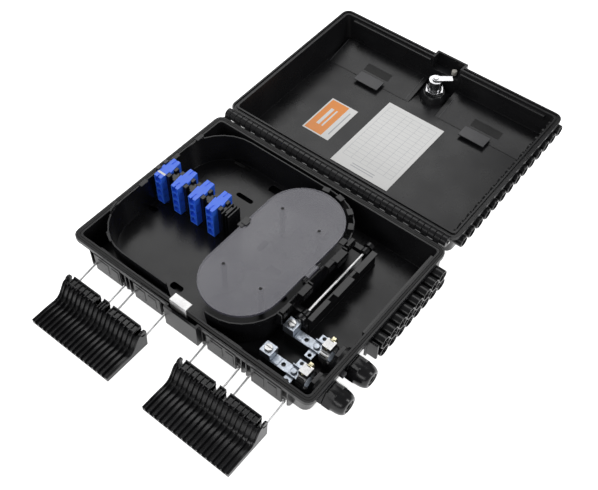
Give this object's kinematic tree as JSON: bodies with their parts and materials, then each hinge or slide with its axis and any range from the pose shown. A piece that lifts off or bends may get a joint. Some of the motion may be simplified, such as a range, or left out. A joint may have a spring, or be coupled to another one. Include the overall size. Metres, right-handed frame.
{
  "type": "fiber termination box",
  "caption": "Hinged wall box for fiber distribution, lid open, with a splice tray and cover, stacked adapters, drop cable ports, cable glands, strain clamps, a cam lock and draw latches.",
  "frame": {"origin": "centre of the base shell underside, on its mounting face", "axes": "+X to the right along the latch side, +Y towards the lid hinge, +Z out of the open base"},
  "size_m": [0.311, 0.5262, 0.0505],
  "materials": {
    "case_plastic": "satin moulded, fine texture",
    "tray_plastic": "semi-gloss moulded",
    "trim_plastic": "satin moulded",
    "gray_plastic": "satin",
    "rubber": "matt",
    "adapter_blue": "semi-gloss",
    "smoked_cover": "smoked clear plastic",
    "steel": "satin",
    "zinc": "zinc plated",
    "chrome": "polished",
    "label_paper": "coated paper",
    "pale_plastic": "satin"
  },
  "bodies": {
    "root": {"base_gasket": "rubber", "base_shell": "case_plastic", "clamp_1_band": "steel", "clamp_1_block": "zinc", "clamp_1_plate": "zinc", "clamp_1_screw": "steel", "clamp_1_worm": "steel", "clamp_2_band": "steel", "clamp_2_block": "zinc", "clamp_2_plate": "zinc", "clamp_2_screw": "steel", "clamp_2_worm": "steel", "drop_port_block": "trim_plastic", "gland_1_body": "trim_plastic", "gland_1_locknut": "trim_plastic", "gland_1_nut": "trim_plastic", "gland_1_seal": "rubber", "gland_2_body": "trim_plastic", "gland_2_locknut": "trim_plastic", "gland_2_nut": "trim_plastic", "gland_2_seal": "rubber", "hinge_pin": "steel", "port_seal_strip": "rubber", "strike_plate": "steel", "tray_hinge_bracket": "trim_plastic", "tray_hinge_pin": "steel"},
    "lid": {"lid_shell": "case_plastic", "lock_cylinder": "chrome", "lock_nut": "chrome", "data_label": "label_paper", "catch_tab_left": "gray_plastic", "catch_tab_right": "gray_plastic", "housing_plug": "pale_plastic"},
    "lock_cam": {"lock_cam": "chrome"},
    "tray": {"splice_tray": "tray_plastic", "adapter_bracket": "trim_plastic", "cover_hinge_pin": "steel", "adapter_1_1": "adapter_blue", "adapter_1_2": "adapter_blue", "adapter_1_3": "adapter_blue", "adapter_1_4": "adapter_blue", "adapter_2_1": "adapter_blue", "adapter_2_2": "adapter_blue", "adapter_2_3": "adapter_blue", "adapter_2_4": "adapter_blue", "adapter_3_1": "adapter_blue", "adapter_3_2": "adapter_blue", "adapter_3_3": "adapter_blue", "adapter_3_4": "adapter_blue", "adapter_4_1": "adapter_blue", "adapter_4_2": "adapter_blue", "adapter_4_3": "adapter_blue", "adapter_4_4": "adapter_blue"},
    "cover": {"splice_cover": "smoked_cover"},
    "left_bail": {"left_bail_outer": "steel", "left_bail_inner": "steel"},
    "left_handle": {"left_latch_handle": "trim_plastic"},
    "right_bail": {"right_bail_outer": "steel", "right_bail_inner": "steel"},
    "right_handle": {"right_latch_handle": "trim_plastic"}
  },
  "joints": [
    {"name": "lid_hinge", "type": "hinge", "parent": "root", "child": "lid", "pos_m": [0, 0.1137, 0.0389], "axis": [-1, 0, 0], "range_deg": [-178.7, 0]},
    {"name": "lock_turn", "type": "hinge", "parent": "lid", "child": "lock_cam", "pos_m": [0.0005, 0.30758, 0.03324], "axis": [0, -0.0227, 0.9997], "range_deg": [-39, 51]},
    {"name": "tray_hinge", "type": "hinge", "parent": "root", "child": "tray", "pos_m": [0.081, 0, 0.028], "axis": [0, 1, 0], "range_deg": [0, 85]},
    {"name": "cover_hinge", "type": "hinge", "parent": "tray", "child": "cover", "pos_m": [0.0636, 0, 0.0436], "axis": [0, 1, 0], "range_deg": [0, 85]},
    {"name": "left_bail_hinge", "type": "hinge", "parent": "root", "child": "left_bail", "pos_m": [-0.0715, -0.105, 0.014], "axis": [-1, 0, 0], "range_deg": [0, 88]},
    {"name": "left_handle_hinge", "type": "hinge", "parent": "left_bail", "child": "left_handle", "pos_m": [-0.0715, -0.1365, 0.0072], "axis": [1, 0, 0], "range_deg": [-80, 0]},
    {"name": "right_bail_hinge", "type": "hinge", "parent": "root", "child": "right_bail", "pos_m": [0.0715, -0.105, 0.014], "axis": [-1, 0, 0], "range_deg": [0, 88]},
    {"name": "right_handle_hinge", "type": "hinge", "parent": "right_bail", "child": "right_handle", "pos_m": [0.0715, -0.1365, 0.0072], "axis": [1, 0, 0], "range_deg": [-80, 0]}
  ]
}
